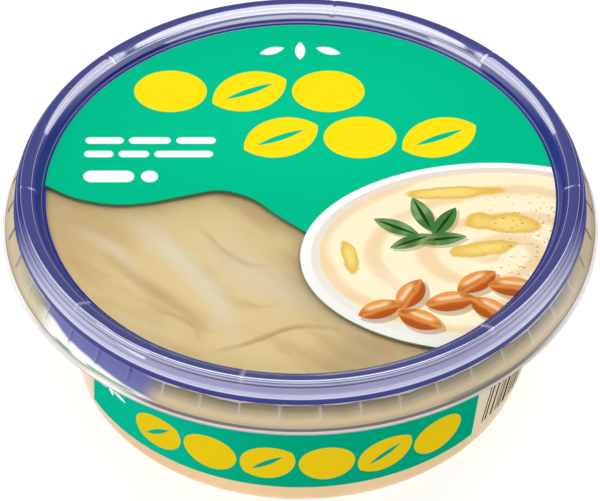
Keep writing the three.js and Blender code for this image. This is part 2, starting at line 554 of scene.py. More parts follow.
@dataclass(frozen=True)
class HazySkirt:
    """Thin flared plastic that gathers the filling's beige, with painted shade at its top and a painted pinkish
    lip highlight.

    Heights are in millimetres. Angles are in radians round from the front, positive to the right.
    """

    name: str = "hazy_skirt"
    lowest: str = "8a8080"
    # By height: grey underside, painted pinkish highlight and dark line at the lip, beige, painted shade darker
    # to the top
    bands: tuple[Band, ...] = (
        (30.17, 0.06, "d9cac6"),
        (30.56, 0.08, "807876"),
        (30.98, 0.08, "dfc89c"),
        (32.8, 0.6, "b9a985"),
        (33.7, 0.5, "8f8469"),
        (34.7, 0.3, "6a6250"),
        # A painted pale highlight line at the top
        (35.05, 0.06, "cfcccb"),
    )
    # Painted light: the flanks' beige is lighter at the left than at the right
    flank_lit_left: str = "ddc89e"
    flank_shaded_right: str = "cab287"
    mottle: str = "a8905f"
    # Painted highlight along the lip
    lip_highlight: str = "f8f6f3"
    # Painted reflection at the front left: a white highlight below and blue above
    sheen: str = "ffffff"
    blue_reflection: str = "484ca8"
    # Painted refraction of the band's green above the lip
    green: str = "1c9473"
    # Painted shade at the top of the flanks
    painted_highlight_and_shade: str = "23232b"
    # Painted light on the ribs: a highlight at the front, shade on the flanks, dark blue in the reflection
    rib_highlight: str = "dcd8cf"
    rib_shade: str = "2c2a2a"
    rib_in_blue_reflection: str = "2b2c66"
    opacity: float = 0.74
    left_starts: Span = (-1.12, -1.0)
    brim_left_ends: Span = (-0.72, -0.5)
    gleam_ends: Span = (-0.58, -0.48)
    brim_low: Span = (30.2, 30.3)
    brim_high: Span = (30.84, 30.92)
    edge_top: Span = (30.85, 31.0)
    flank_low: Span = (30.9, 31.0)
    gleam_low: Span = (30.9, 31.1)
    blue_reflection_low: Span = (32.5, 33.2)
    top_shade_low: Span = (34.95, 35.1)

    def build(self) -> bpy.types.Material:
        """Paint bands by height, then the flanks, the lip's painted white highlight, the painted gleam and the
        ribs' painted light.

        Returns:
            The material.
        """
        recipe = Recipe(self.name)
        x, y, z = recipe.place()
        ahead = (0 - y) / (x**2 + y**2).root()
        side = x.atan2(0 - y)
        flank = 1 - ahead.step(0.15, 0.5)
        gleam = side.between(self.left_starts, self.gleam_ends) * z.step(*self.gleam_low)
        level = z + (recipe.noise(150, 2) - 0.5) * 1.2 * z.step(31.0, 32.5)
        colour = recipe.banded(level, tone(self.lowest), self.bands)
        # Painted light: lighter beige on the left flank, darker on the right
        sides = recipe.blend(x.step(-20, 20), tone(self.flank_lit_left), tone(self.flank_shaded_right))
        beige = recipe.blend(recipe.noise(60, 2).step(0.4, 0.7) * 0.35, sides, tone(self.mottle))
        colour = recipe.blend(flank * z.step(*self.flank_low), colour, beige)
        # Painted highlight: a white line along the lip at the flanks and the front left
        left = side.between(self.left_starts, self.brim_left_ends) * 0.75
        lip_highlight = (1 - ahead.step(0.35, 0.75)).most(left) * z.between(self.brim_low, self.brim_high)
        colour = recipe.blend(lip_highlight, colour, tone(self.lip_highlight))
        # Painted reflection at the front left: blue plates above, a white highlight below
        blue_reflection_mask = (level + (side + 0.84) * 5).step(*self.blue_reflection_low)
        sheen = recipe.blend(blue_reflection_mask, tone(self.sheen), tone(self.blue_reflection))
        colour = recipe.blend(gleam * 0.95, colour, sheen)
        # Painted refraction of the band's green just above the lip
        colour = recipe.blend(self.painted_band_refraction(side, z), colour, tone(self.green))
        # Painted shade: dark at the top of the flanks
        colour = recipe.blend(flank * z.step(*self.top_shade_low), colour, tone(self.painted_highlight_and_shade))
        # Painted light on the ribs: light at the front, dark on the flanks and dark blue in the reflection
        dark = recipe.blend(gleam, tone(self.rib_shade), tone(self.rib_in_blue_reflection))
        rib_tone = recipe.blend(flank.most(gleam), tone(self.rib_highlight), dark)
        rib = (recipe.attribute("rib") * (flank * 1.4 + 1)).least(1.0)
        colour = recipe.blend(rib * (flank * 0.4 + 0.55), colour, rib_tone)
        edge = 1 - z.step(*self.edge_top)
        alpha = (edge * 0.25 + gleam * 0.2 + self.opacity).least(1.0)
        glossy = recipe.surface(
            {
                "Base Color": colour,
                "Roughness": 0.12,
                "IOR": 1.5,
                "Coat Weight": 1.0,
                "Coat Roughness": 0.03,
                "Coat IOR": 1.5,
                "Alpha": alpha,
            }
        )
        return recipe.finish(recipe.softened(glossy, colour, flank * 0.75, alpha))

    @staticmethod
    def painted_band_refraction(side: Expr, z: Expr) -> Expr:
        """Work out the painted refraction of the band's green, just above the lip.

        Args:
            side: The angle round from the front.
            z: Height.

        Returns:
            A mask that is strong at the front left, with a gap in it, and weaker at the front right.
        """
        gap = side.between((-0.9, -0.87), (-0.82, -0.79))
        left = side.between((-1.0, -0.95), (-0.64, -0.55)) * (1 - gap)
        right = side.between((0.48, 0.55), (0.72, 0.78)) * 0.55
        return (left * 0.85 + right) * z.between((30.98, 31.08), (31.3, 31.55))


@dataclass(frozen=True)
class HummusPaste:
    """Smooth pale paste with soft strokes, painted shade ochre in its folds and brown by the print, painted
    light pinker at the wall.
    """

    name: str = "hummus_paste"
    body: str = "edd49b"
    tan: str = "c39b5c"
    pale: str = "ece4d0"
    shaded: str = "77603f"
    # Painted light on the wall: a peachier tone, orange towards the left and yellower towards the right
    side: str = "f4cf9b"
    side_low: str = "e6bf88"
    side_left_painted_light: str = "e0ac62"
    side_right_painted_light: str = "e0c888"

    def build(self) -> bpy.types.Material:
        """Paint the top by the mesh's fold, streak and shade values and the side by place, with painted light
        and shade, and a fine grain.

        Returns:
            The material.
        """
        recipe = Recipe(self.name)
        x, _, z = recipe.place()
        broad = recipe.noise(55, 3, (1, 3.2, 1), 35)
        fine = recipe.noise(210, 4, (1, 4.0, 1), 52)
        colour = recipe.blend(broad.step(0.46, 0.72) * 0.42, tone(self.body), tone(self.tan))
        colour = recipe.blend(fine.step(0.52, 0.8) * 0.4, colour, tone(self.pale))
        # Painted shade: the fold value puts tan in the folds and creases; it also holds a warm patch at the far
        # left
        colour = recipe.blend(recipe.attribute("fold"), colour, tone(self.tan))
        # The streak value: paler smeared paste, partly a painted highlight
        colour = recipe.blend(recipe.attribute("streak"), colour, tone(self.pale))
        colour = recipe.blend(recipe.attribute("shade"), colour, tone(self.shaded))
        # Painted light: the wall is peachier, deeper orange at the left and yellower at the right
        wall = recipe.blend(recipe.noise(90, 3).step(0.4, 0.7) * 0.35, tone(self.side), tone(self.side_low))
        wall = recipe.blend((1 - x.step(-40, -12)) * 0.8, wall, tone(self.side_left_painted_light))
        wall = recipe.blend(x.step(12, 30) * 0.9, wall, tone(self.side_right_painted_light))
        colour = recipe.blend(1 - z.step(35.2, 35.9), colour, wall)
        shader = recipe.surface(
            {
                "Base Color": colour,
                "Roughness": 0.45,
                "IOR": 1.4,
                "Normal": recipe.bump(recipe.noise(700, 3), 0.00006, 0.3),
            }
        )
        return recipe.finish(shader)


class Motif(Enum):
    """A shape of the print's yellow pattern."""

    LEAF = "leaf"
    PEBBLE = "pebble"

    def mask(self, sheet: Sheet, cx: float, cy: float, wide: float, tall: float, lean: float) -> Expr:
        """Return the motif's mask.

        Args:
            sheet: The print's coordinates.
            cx: Middle along x.
            cy: Middle along y.
            wide: Half its width.
            tall: Half its height.
            lean: Turn in degrees.

        Returns:
            A leaf with a slit along its middle, or a plain pebble.
        """
        if self is Motif.PEBBLE:
            return sheet.ellipse(cx, cy, wide * 0.96, tall * 0.98, lean)
        whole = sheet.leaf(cx, cy, wide * 1.08, tall * 0.9, lean)
        return (whole - sheet.leaf(cx, cy, wide * 0.7, tall * 0.12, lean)).most(0.0)


@dataclass(frozen=True)
class PrintInks:
    """The print's colours."""

    green: str = "00bd8b"
    green_light: str = "02c592"
    yellow: str = "fde314"
    white: str = "f6fff8"
    cream: str = "fff2cd"
    ochre: str = "e9bd7e"
    oil: str = "e6b637"
    kernel: str = "ef9d4e"
    rust: str = "b5561f"
    light: str = "ffdcae"
    herb: str = "47793d"
    herb_dark: str = "20441f"


@dataclass(frozen=True)
class LidPrint:
    """The lid film's print: a green field with yellow shapes, white bars and a dish at the front right."""

    name: str = "lid_print"
    inks: PrintInks = PrintInks()
    gloss: float = 0.03
    dish: tuple[float, float, float, float] = DISH
    rows: tuple[tuple[float, float], ...] = ((-30.0, 27.8), (-10.4, 15.8))
    pitch: float = 14.0
    kernels: tuple[tuple[float, float, float, float], ...] = (
        (14.0, -28.4, 4.2, 24),
        (21.0, -31.0, 4.4, -28),
        (19.4, -24.6, 4.3, 64),
        (26.4, -26.4, 4.6, 12),
        (33.2, -28.2, 4.2, -40),
        (31.0, -21.4, 4.3, 38),
        (37.4, -22.6, 4.5, -8),
    )
    leaves: tuple[tuple[float, float, float, float], ...] = (
        (17.0, -7.4, 4.6, 152),
        (21.6, -4.2, 4.8, 112),
        (25.4, -6.2, 4.4, 62),
        (24.8, -10.4, 4.6, 8),
        (19.6, -11.0, 4.2, 205),
    )
    pools: tuple[tuple[float, float, float, float, float], ...] = (
        (36.5, -6.4, 7.0, 2.6, -8),
        (33.2, -12.6, 6.2, 2.0, 12),
        (8.8, -15.0, 1.5, 5.4, 12),
        (27.4, 1.6, 8.6, 1.5, 3),
    )

    def build(self) -> bpy.types.Material:
        """Print the field and the dish under a clear gloss.

        Returns:
            The material.
        """
        recipe = Recipe(self.name)
        x, y, _ = recipe.place()
        sheet = Sheet(x, y)
        colour = self.picture(recipe, sheet, self.field(recipe, sheet))
        return recipe.finish(printed_shader(recipe, colour, self.gloss))

    def field(self, recipe: Recipe, sheet: Sheet) -> Socket:
        """Print the green field, two staggered rows of yellow shapes and the white bars.

        Args:
            recipe: The film's node tree.
            sheet: The print's coordinates.

        Returns:
            The colour's socket.
        """
        inks = self.inks
        middle = ((sheet.x / 36) ** 2 + ((sheet.y - 20) / 22) ** 2).root()
        colour = recipe.blend(1 - middle.step(0.2, 1.2), tone(inks.green), tone(inks.green_light))
        motifs = (Motif.PEBBLE, Motif.LEAF)
        for row, (start, height) in enumerate(self.rows):
            for i in range(3):
                second = (row + i) % 2
                cx = start + self.pitch * (i + 0.5)
                shape = motifs[second].mask(sheet, cx, height, 6.7, 5.5, 26.0 if second else 0.0)
                colour = recipe.blend(shape, colour, tone(inks.yellow))
        return self.bars(recipe, sheet, colour)

    def bars(self, recipe: Recipe, sheet: Sheet, colour: Socket) -> Socket:
        """Print a white sprig at the top, two rows of short bars and one row of thick ones.

        Args:
            recipe: The film's node tree.
            sheet: The print's coordinates.
            colour: What lies under them.

        Returns:
            The colour's socket.
        """
        marks = [sheet.leaf(dx, 38.4, 2.3, 0.9, lean) for dx, lean in ((-5.0, 20), (0, 90), (5.0, -20))]
        rows = (
            (15.0, 1.7, ((-34.6, 6.8), (-26.6, 7.4), (-18.4, 7.0))),
            (11.5, 1.7, ((-35.6, 5.2), (-29.4, 5.4), (-20.6, 10.4))),
            (5.7, 3.0, ((-33.8, 9.0), (-26.6, 3.0))),
        )
        for cy, height, bars in rows:
            marks += [sheet.pill(cx, cy, length, height) for cx, length in bars]
        for mark in marks:
            colour = recipe.blend(mark, colour, tone(self.inks.white))
        return colour

    def picture(self, recipe: Recipe, sheet: Sheet, colour: Socket) -> Socket:
        """Print the dish: a white rim, swirled cream, golden pools, leaves and toasted kernels.

        Args:
            recipe: The film's node tree.
            sheet: The print's coordinates.
            colour: What lies under it.

        Returns:
            The colour's socket.
        """
        inks = self.inks
        cx, cy, a, b = self.dish
        lift = sheet.y.step(-42.0, 12.0)
        white = recipe.blend(lift, tone("f3f1ea"), tone("ffffff"))
        colour = recipe.blend(sheet.ellipse(cx, cy, a, b), colour, white)
        lip = sheet.ellipse(cx + 0.2, cy + 0.3, a * 0.95, b * 0.935)
        colour = recipe.blend(lip * (0.12 + lift * 0.5), colour, tone("dfc49d"))
        dx, dy = sheet.turned(cx + 0.4, cy + 0.6, 0)
        ring = ((dx / (a * 0.91)) ** 2 + (dy / (b * 0.87)) ** 2).root()
        warp = recipe.noise(38, 3) * 6.5
        swirl = (ring * 21 + dy.atan2(dx) + warp).sin().step(-0.1, 1.0)
        cream = recipe.blend(swirl * 0.5, tone(inks.cream), tone(inks.ochre))
        cream = recipe.blend(recipe.noise(110, 3).step(0.5, 0.75) * 0.5, cream, tone("fffae6"))
        colour = recipe.blend(sheet.within((1.0 - ring) * 20), colour, cream)
        for shape in self.pools:
            colour = self.pool(recipe, sheet, colour, shape)
        speck = recipe.noise(1500, 1).step(0.66, 0.7) * (1 - ring.step(0.5, 0.95)) * dx.step(-6.0, 6.0)
        colour = recipe.blend(speck * 0.75, colour, tone("bb4a1e"))
        for shape in self.leaves:
            colour = self.leaf(recipe, sheet, colour, shape)
        for shape in self.kernels:
            colour = self.kernel(recipe, sheet, colour, shape)
        return colour

    def pool(self, recipe: Recipe, sheet: Sheet, colour: Socket, shape: tuple[float, ...]) -> Socket:
        """Print one golden pool with an uneven edge.

        Args:
            recipe: The film's node tree.
            sheet: The print's coordinates.
            colour: What lies under it.
            shape: Middle x and y, half its length, half its height and its turn in degrees.

        Returns:
            The colour's socket.
        """
        px, py, long, short, lean = shape
        u, v = sheet.turned(px, py, lean)
        away = ((u / long) ** 2 + (v / short) ** 2).root() + (recipe.noise(170, 3) - 0.5) * 1.5
        inside = 1 - away.step(0.85, 1.1)
        gold = recipe.blend(away.step(0.3, 0.95), tone("f6d873"), tone(self.inks.oil))
        return recipe.blend(inside * 0.9, colour, gold)

    def kernel(self, recipe: Recipe, sheet: Sheet, colour: Socket, shape: tuple[float, ...]) -> Socket:
        """Print one toasted kernel, paler along its back, with a soft shadow.

        Args:
            recipe: The film's node tree.
            sheet: The print's coordinates.
            colour: What lies under it.
            shape: Middle x and y, half its length and its turn in degrees.

        Returns:
            The colour's socket.
        """
        cx, cy, size, lean = shape
        shadow = sheet.leaf(cx + 0.6, cy - 0.9, size * 1.04, size * 0.6, lean)
        colour = recipe.blend(shadow * 0.5, colour, tone("9c6430"))
        u, v = sheet.turned(cx, cy, lean)
        grain = (v * 2.6 + recipe.noise(240, 2) * 5).sin().step(-0.2, 1.0) * 0.35
        lit = (v / size + 0.45 + grain).step(0.1, 1.1)
        body = recipe.blend(lit, tone(self.inks.rust), tone(self.inks.kernel))
        ridge = (1 - abs(v - size * 0.2).step(0.1, 0.8)) * (1 - abs(u).step(size * 0.3, size * 0.7))
        body = recipe.blend(ridge * 0.8, body, tone(self.inks.light))
        return recipe.blend(sheet.leaf(cx, cy, size, size * 0.55, lean), colour, body)

    def leaf(self, recipe: Recipe, sheet: Sheet, colour: Socket, shape: tuple[float, ...]) -> Socket:
        """Print one green leaf with a dark middle vein and a soft shadow.

        Args:
            recipe: The film's node tree.
            sheet: The print's coordinates.
            colour: What lies under it.
            shape: Middle x and y, half its length and its turn in degrees.

        Returns:
            The colour's socket.
        """
        cx, cy, size, lean = shape
        shadow = sheet.leaf(cx + 0.5, cy - 0.7, size, size * 0.36, lean)
        colour = recipe.blend(shadow * 0.45, colour, tone("8a7a44"))
        light = recipe.blend(recipe.noise(260, 2).step(0.4, 0.7), tone(self.inks.herb), tone("7fa568"))
        colour = recipe.blend(sheet.leaf(cx, cy, size, size * 0.36, lean), colour, light)
        vein = sheet.leaf(cx, cy, size * 0.85, size * 0.07, lean)
        return recipe.blend(vein, colour, tone(self.inks.herb_dark))


def printed_shader(recipe: Recipe, colour: Socket, gloss: float) -> bpy.types.Node:
    """Make the shader of a printed film, slightly uneven.

    Args:
        recipe: The film's node tree.
        colour: The print.
        gloss: How strongly it mirrors its surroundings, 0.5 for bare plastic.

    Returns:
        The shader's node.
    """
    return recipe.surface(
        {
            "Base Color": colour,
            "Roughness": 0.3,
            "IOR": 1.45,
            "Specular IOR Level": gloss,
            "Normal": recipe.bump(recipe.noise(140, 2), 0.00003, 0.25),
        }
    )


@dataclass(frozen=True)
class BandPrint:
    """The wall band's print: green with yellow shapes, then a pale part with bars and dashes.

    The pale part starts at the border, an arc length that shrinks by the lean for each millimetre of height.
    """

    name: str = "band_print"
    inks: PrintInks = PrintInks(green="00a17c", yellow="e6c416")
    gloss: float = 0.0
    radius: float = 42.4
    border: float = 36.2
    lean: float = 0.105
    middle: float = 13.0

    def build(self) -> bpy.types.Material:
        """Print the band on arc length round the wall and height up it.

        Returns:
            The material.
        """
        recipe = Recipe(self.name)
        x, y, z = recipe.place()
        arc = x.atan2(0 - y) * self.radius
        sheet = Sheet(arc, z)
        # Painted light: the green is lighter towards the band's left end
        colour = recipe.blend(1 - arc.step(-34, 0), tone(self.inks.green), tone("08b592"))
        colour = self.shapes(recipe, sheet, colour)
        pale = self.pale(recipe, sheet)
        colour = recipe.blend(sheet.within(arc + z * self.lean - self.border), colour, pale)
        return recipe.finish(printed_shader(recipe, colour, self.gloss))

    def shapes(self, recipe: Recipe, sheet: Sheet, colour: Socket) -> Socket:
        """Print six yellow shapes along the front and a small white sprig at the left.

        Args:
            recipe: The film's node tree.
            sheet: The print's coordinates.
            colour: The green under them.

        Returns:
            The colour's socket.
        """
        motifs = (Motif.LEAF, Motif.PEBBLE)
        for i in range(6):
            lean = 0.0 if i % 2 else 38.0
            cx = (i - 2.55) * 10.6
            shape = motifs[i % 2].mask(sheet, cx, self.middle, 5.2, 5.0, lean)
            colour = recipe.blend(shape, colour, tone(self.inks.yellow))
        for rise, lean in ((-2.2, 20), (0, 90), (2.2, -20)):
            mark = sheet.leaf(-37.4 + rise, 16.8, 1.5, 0.6, lean)
            colour = recipe.blend(mark, colour, tone(self.inks.white))
        return colour

    def pale(self, recipe: Recipe, sheet: Sheet) -> Socket:
        """Print a block of upright bars of uneven width, then rows of short grey dashes.

        Args:
            recipe: The film's node tree.
            sheet: The print's coordinates.

        Returns:
            The pale part's colour.
        """
        start = self.border - self.lean * self.middle
        along = sheet.x - start
        uneven = (along * 4.6).sin() + (along * 7.9 + 1.0).sin() + (along * 3.1 + 2.0).sin() * 0.8
        bars = uneven.step(0.1, 0.25) * sheet.block(start + 9.4, 13.4, 13.6, 12.4)
        colour = recipe.blend(bars, tone("e4d6b9"), tone("34322f"))
        rows = abs((sheet.y - 0.4).cycle(1.7) - 0.85)
        words = (sheet.x * 2.3).sin() + (sheet.x * 3.9 + sheet.y * 9.0).sin()
        dashes = sheet.within(0.3 - rows) * words.step(-0.9, -0.7)
        block = sheet.block(start + 49.0, 14.4, 50.0, 15.4)
        return recipe.blend(dashes * block * 0.75, colour, tone("5d5c58"))


@dataclass(frozen=True)
class PaleFloor:
    """The plain matt surface that the tub stands on."""

    name: str = "pale_floor"
    colour: str = "b3b3b4"
    glow: float = 0.76

    def build(self) -> bpy.types.Material:
        """Make a surface that comes out near white, with a faint unevenness in its roughness.

        Returns:
            The material.
        """
        recipe = Recipe(self.name)
        uneven = recipe.noise(3, 2) * 0.1 + 0.7
        values = {
            "Base Color": tone(self.colour),
            "Roughness": uneven,
            "Specular IOR Level": 0.0,
            "Emission Color": (1.0, 1.0, 1.0, 1.0),
            "Emission Strength": self.glow,
        }
        return recipe.finish(recipe.surface(values))


def rounded(points: np.ndarray, radius: float, steps: int = 4, closed: bool = False) -> np.ndarray:
    """Round the corners of a profile.

    Args:
        points: Corners as rows of radius and height.
        radius: How far from a corner its curve starts and ends, at most 0.45 of the shorter edge.
        steps: Points on each corner's curve.
        closed: Whether the last corner joins the first.

    Returns:
        The rounded profile. A corner P between A and B becomes (1 - t)^2 A' + 2 t (1 - t) P + t^2 B', with A'
        and B' on its two edges.
    """
    inner = points if closed else points[1:-1]
    before = np.roll(points, 1, axis=0) if closed else points[:-2]
    after = np.roll(points, -1, axis=0) if closed else points[2:]
    back, ahead = before - inner, after - inner
    lengths = np.stack([np.linalg.norm(back, axis=1), np.linalg.norm(ahead, axis=1)])
    cut = np.minimum(radius, 0.45 * lengths.min(axis=0))
    start = inner + back / lengths[0][:, None] * cut[:, None]
    end = inner + ahead / lengths[1][:, None] * cut[:, None]
    t = np.linspace(0, 1, steps)[None, :, None]
    curve = (1 - t) ** 2 * start[:, None] + 2 * t * (1 - t) * inner[:, None] + t**2 * end[:, None]
    curve = curve.reshape(-1, 2)
    return curve if closed else np.vstack([points[:1], curve, points[-1:]])


def spline(points: np.ndarray, steps: int = 12) -> np.ndarray:
    """Run a smooth curve through points.

    Args:
        points: Places on the curve, in order.
        steps: Points on each stretch.

    Returns:
        The curve: between P1 and P2, with neighbours P0 and P3, a cubic whose slope is (P2 - P0) / 2 at P1 and
        (P3 - P1) / 2 at P2.
    """
    ends = np.vstack([2 * points[0] - points[1], points, 2 * points[-1] - points[-2]])
    p0, p1, p2, p3 = (ends[i : len(ends) - 3 + i, None] for i in range(4))
    t = np.linspace(0, 1, steps, endpoint=False)[None, :, None]
    square = p0 - 2.5 * p1 + 2 * p2 - p3 / 2
    cube = 1.5 * (p1 - p2) + (p3 - p0) / 2
    curve = p1 + t * (p2 - p0) / 2 + t**2 * square + t**3 * cube
    return np.vstack([curve.reshape(-1, points.shape[1]), points[-1:]])


def smooth(value: np.ndarray, low: float, high: float) -> np.ndarray:
    """Return 0 at low, 1 at high and 3t^2 - 2t^3 between them."""
    t = np.clip((value - low) / (high - low), 0, 1)
    return t * t * (3 - 2 * t)


def spread(profile: np.ndarray, columns: int) -> tuple[np.ndarray, np.ndarray]:
    """Return a profile's radius and height, each repeated over that many columns."""
    return np.repeat(profile[:, [0]], columns, axis=1), np.repeat(profile[:, [1]], columns, axis=1)


def even_turn(columns: int) -> np.ndarray:
    """Return a row of that many even angles round a full turn."""
    return np.linspace(0, 2 * math.pi, columns, endpoint=False)[None, :]


def put(name: str, data: Any) -> bpy.types.Object:
    """Make an object and add it to the scene.

    Args:
        name: Its name.
        data: Its mesh, light or camera.

    Returns:
        The object, at the origin.
    """
    made = bpy.data.objects.new(name, data)
    bpy.context.scene.collection.objects.link(made)
    return made


@dataclass
class Mesh:
    """Points in millimetres and the faces between them."""

    points: np.ndarray
    faces: list[list[int]]
    values: dict[str, np.ndarray] = field(default_factory=dict)
    slots: np.ndarray | None = None

    @classmethod
    def turned(cls, radius: np.ndarray, height: np.ndarray, angles: np.ndarray) -> "Mesh":
        """Make a surface that goes round the upright axis, with both its ends on the axis.

        Args:
            radius: Radius for each row and column of the grid.
            height: Height for each row and column.
            angles: The columns' angles, from +X towards +Y.

        Returns:
            The closed mesh: each point is (r cos a, r sin a, z).
        """
        rows, columns = radius.shape
        grid = np.stack([radius * np.cos(angles), radius * np.sin(angles), height], axis=-1)
        below = np.arange(rows - 1)[:, None] * columns
        above = below + columns
        j = np.arange(columns)[None, :]
        following = (j + 1) % columns
        quads = np.stack([below + j, below + following, above + following, above + j], axis=-1)
        return cls(grid.reshape(-1, 3), quads.reshape(-1, 4).tolist())

    @classmethod
    def slab(cls, outline: np.ndarray, low: float, high: float) -> "Mesh":
        """Make a flat sheet.

        Args:
            outline: Its edge, anticlockwise, as rows of x and y.
            low: The height of its underside.
            high: The height of its top.

        Returns:
            The closed mesh.
        """
        count = len(outline)
        levels = [np.column_stack([outline, np.full(count, level)]) for level in (low, high)]
        ring = np.arange(count)
        following = (ring + 1) % count
        sides = np.stack([ring, following, following + count, ring + count], axis=-1).tolist()
        caps = [ring[::-1].tolist(), (ring + count).tolist()]
        return cls(np.vstack(levels), sides + caps)

    def piece(
        self, name: str, materials: list[bpy.types.Material], smoothed: bool = True
    ) -> bpy.types.Object:
        """Make the Blender object.

        Args:
            name: The piece's name.
            materials: Its finishes, in the order of the slot numbers.
            smoothed: Whether its faces are shaded as one curved surface.

        Returns:
            The object, at the origin, with its faces outwards and its poles closed.
        """
        data = bpy.data.meshes.new(name)
        data.from_pydata((self.points * MM).tolist(), [], self.faces)
        for key, values in self.values.items():
            data.attributes.new(key, "FLOAT", "POINT").data.foreach_set("value", values.astype(np.float32))
        for material in materials:
            data.materials.append(material)
        if self.slots is not None:
            data.polygons.foreach_set("material_index", self.slots.astype(np.int32))
        self._close(data)
        data.polygons.foreach_set("use_smooth", np.full(len(data.polygons), smoothed))
        return put(name, data)

    @staticmethod
    def _close(data: bpy.types.Mesh) -> None:
        """Merge the points that meet at a pole, and turn the faces outwards.

        Args:
            data: The mesh.
        """
        edit = bmesh.new()
        edit.from_mesh(data)
        bmesh.ops.remove_doubles(edit, verts=edit.verts, dist=1e-7)
        if edit.calc_volume(signed=True) < 0:
            bmesh.ops.reverse_faces(edit, faces=edit.faces)
        edit.to_mesh(data)
        edit.free()


def dress(piece: bpy.types.Object, node: str) -> None:
    """Put a finished piece in place of a CAD node.

    Args:
        piece: The finished piece.
        node: The CAD node that it stands for.
    """
    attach(piece, "root")
    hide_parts(node)
    LOG.info("%s: %d faces, in place of %s", piece.name, len(piece.data.polygons), node)


@dataclass
class Tub:
    """The tapered clear tub, a sheet of plastic with a flange at its mouth."""

    foot_radius: float = 39.1
    slope: float = 0.235
    fillet: float = 3.6
    sheet: float = 0.8
    recess: float = 0.7
    recess_radius: float = 32.0
    flange_radius: float = 49.2
    flange_top: float = 38.3
    foot_steps: int = 9
    columns: int = 240

    def radius_at(self, height: float) -> float:
        """Return the wall's outer radius at a height."""
        return self.foot_radius + self.slope * height

    def foot(self, inset: float) -> np.ndarray:
        """Work out the rounded foot.

        Args:
            inset: How far inwards of the outer surface it lies.

        Returns:
            Rows of radius and height from the ground to the wall: an arc that ends where it meets the wall's
            slope.
        """
        lean = math.atan(self.slope)
        centre = self.radius_at(self.fillet) - self.fillet / math.cos(lean)
        angle = np.linspace(-math.pi / 2, -lean, self.foot_steps)
        radius = self.fillet - inset
        return np.column_stack([centre + radius * np.cos(angle), self.fillet + radius * np.sin(angle)])

    def outside(self) -> np.ndarray:
        """Work out the outer profile.

        Returns:
            Rows of radius and height from the middle of the base to the mouth.
        """
        under = self.flange_top - self.sheet
        base = [[0, self.recess], [self.recess_radius - 1, self.recess], [self.recess_radius, 0]]
        mouth = [
            [self.radius_at(self.fillet + 1), self.fillet + 1],
            [self.radius_at(under - 1), under - 1],
            [self.radius_at(under), under],
            [self.flange_radius, under - 0.15],
            [self.flange_radius, self.flange_top],
        ]
        return np.vstack([base, self.foot(0), mouth])

    def inside(self) -> np.ndarray:
        """Work out the inner profile.

        Returns:
            Rows of radius and height from the mouth back to the middle of the base.
        """
        floor = self.recess + self.sheet
        mouth = [[self.radius_at(self.flange_top) - self.sheet, self.flange_top]]
        base = [[self.recess_radius + 0.4, self.sheet], [self.recess_radius - 0.8, floor], [0, floor]]
        return np.vstack([mouth, self.foot(self.sheet)[::-1], base])

    def build(self, clear: bpy.types.Material) -> bpy.types.Object:
        """Turn the tub's profile round the upright axis.

        Args:
            clear: Its finish.

        Returns:
            The finished tub.
        """
        profile = rounded(np.vstack([self.outside(), self.inside()]), 0.35)
        mesh = Mesh.turned(*spread(profile, self.columns), even_turn(self.columns))
        return mesh.piece("clear_tub", [clear])


@dataclass
class Window:
    """The outline of the film, which leaves a wavy window at the front left.

    The dish's side runs between two angles about its middle, and the wave starts at an angle on the panel's
    edge.
    """

    film_radius: float = 45.15
    dish: tuple[float, float, float, float] = DISH
    meets_edge: float = -106.9
    meets_wave: float = -195.0
    wave_start: float = 175.7
    wave: tuple[tuple[float, float], ...] = (
        (-39.6, 0.2),
        (-33, -1.4),
        (-27, -1.0),
        (-20.6, 0.7),
        (-14.2, 2.2),
        (-8.6, 0.2),
        (-4.2, -4.0),
    )

    def outline(self) -> np.ndarray:
        """Work out the film's edge.

        Returns:
            Rows of x and y, anticlockwise: the wave, the dish's lower left and the panel's edge.
        """
        cx, cy, a, b = self.dish
        turn = np.radians(np.linspace(self.meets_wave, self.meets_edge, 40))
        side = np.column_stack([cx + a * np.cos(turn), cy + b * np.sin(turn)])
        last = math.atan2(side[-1, 1], side[-1, 0])
        sweep = np.linspace(last, math.radians(self.wave_start), 160)
        edge = self.film_radius * np.column_stack([np.cos(sweep), np.sin(sweep)])
        curve = spline(np.vstack([edge[-1:], self.wave, side[:1]]))
        return np.vstack([curve[:-1], side[:-1], edge[:-1]])

    def border(self) -> np.ndarray:
        """Pick out the edge that crosses the panel.

        Returns:
            Rows of x and y along the wave and the dish.
        """
        outline = self.outline()
        inside = np.hypot(outline[:, 0], outline[:, 1]) < self.film_radius - 0.2
        return outline[inside]


class Mark(Enum):
    """A stroke's mark in the filling's top: a thin crease or broad fold, tan as painted shade, or a pale
    streak, partly painted highlight.
    """

    CREASE = "crease"
    FOLD = "fold"
    STREAK = "streak"


